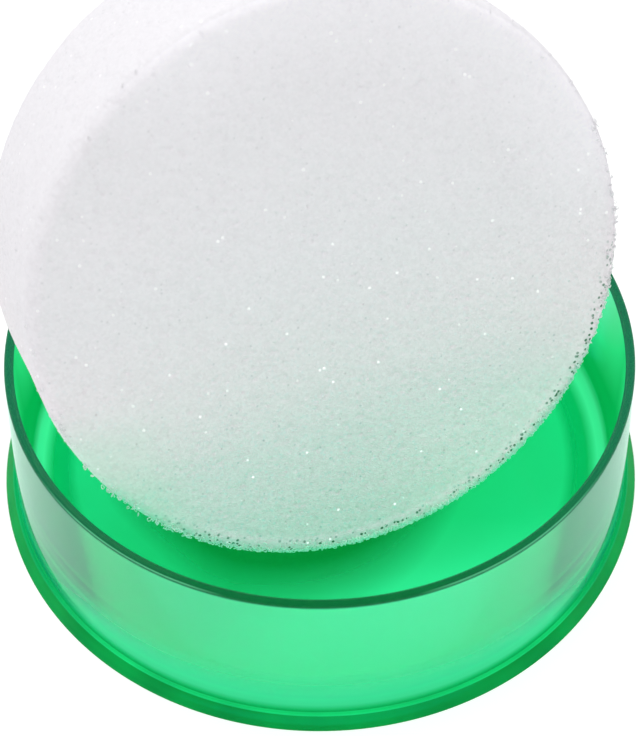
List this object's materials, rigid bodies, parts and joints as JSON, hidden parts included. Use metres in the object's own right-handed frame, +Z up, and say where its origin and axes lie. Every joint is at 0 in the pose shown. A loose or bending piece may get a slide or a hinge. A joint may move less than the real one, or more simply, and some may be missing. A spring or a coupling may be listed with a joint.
{
  "type": "sponge cup",
  "caption": "Shallow round translucent cup with a narrow sloping base band, holding a loose thick foam disc that stands tipped up on its edge and lifts out.",
  "frame": {"origin": "centre of the cup's underside", "axes": "+Z up along the cup's axis; -Y is the side the foam disc's open face looks to, turned 20 degrees towards +X"},
  "size_m": [0.0914, 0.0914, 0.0831],
  "materials": {
    "cup_plastic": "translucent green moulded plastic, glossy",
    "foam": "white fine open-cell foam, matt"
  },
  "bodies": {
    "cup": {"cup": "cup_plastic"},
    "sponge": {"sponge": "foam"}
  },
  "joints": [
    {"name": "sponge_lift", "type": "slide", "parent": "cup", "child": "sponge", "axis": [0, 0, 1], "range_m": [0, 0.036]}
  ]
}
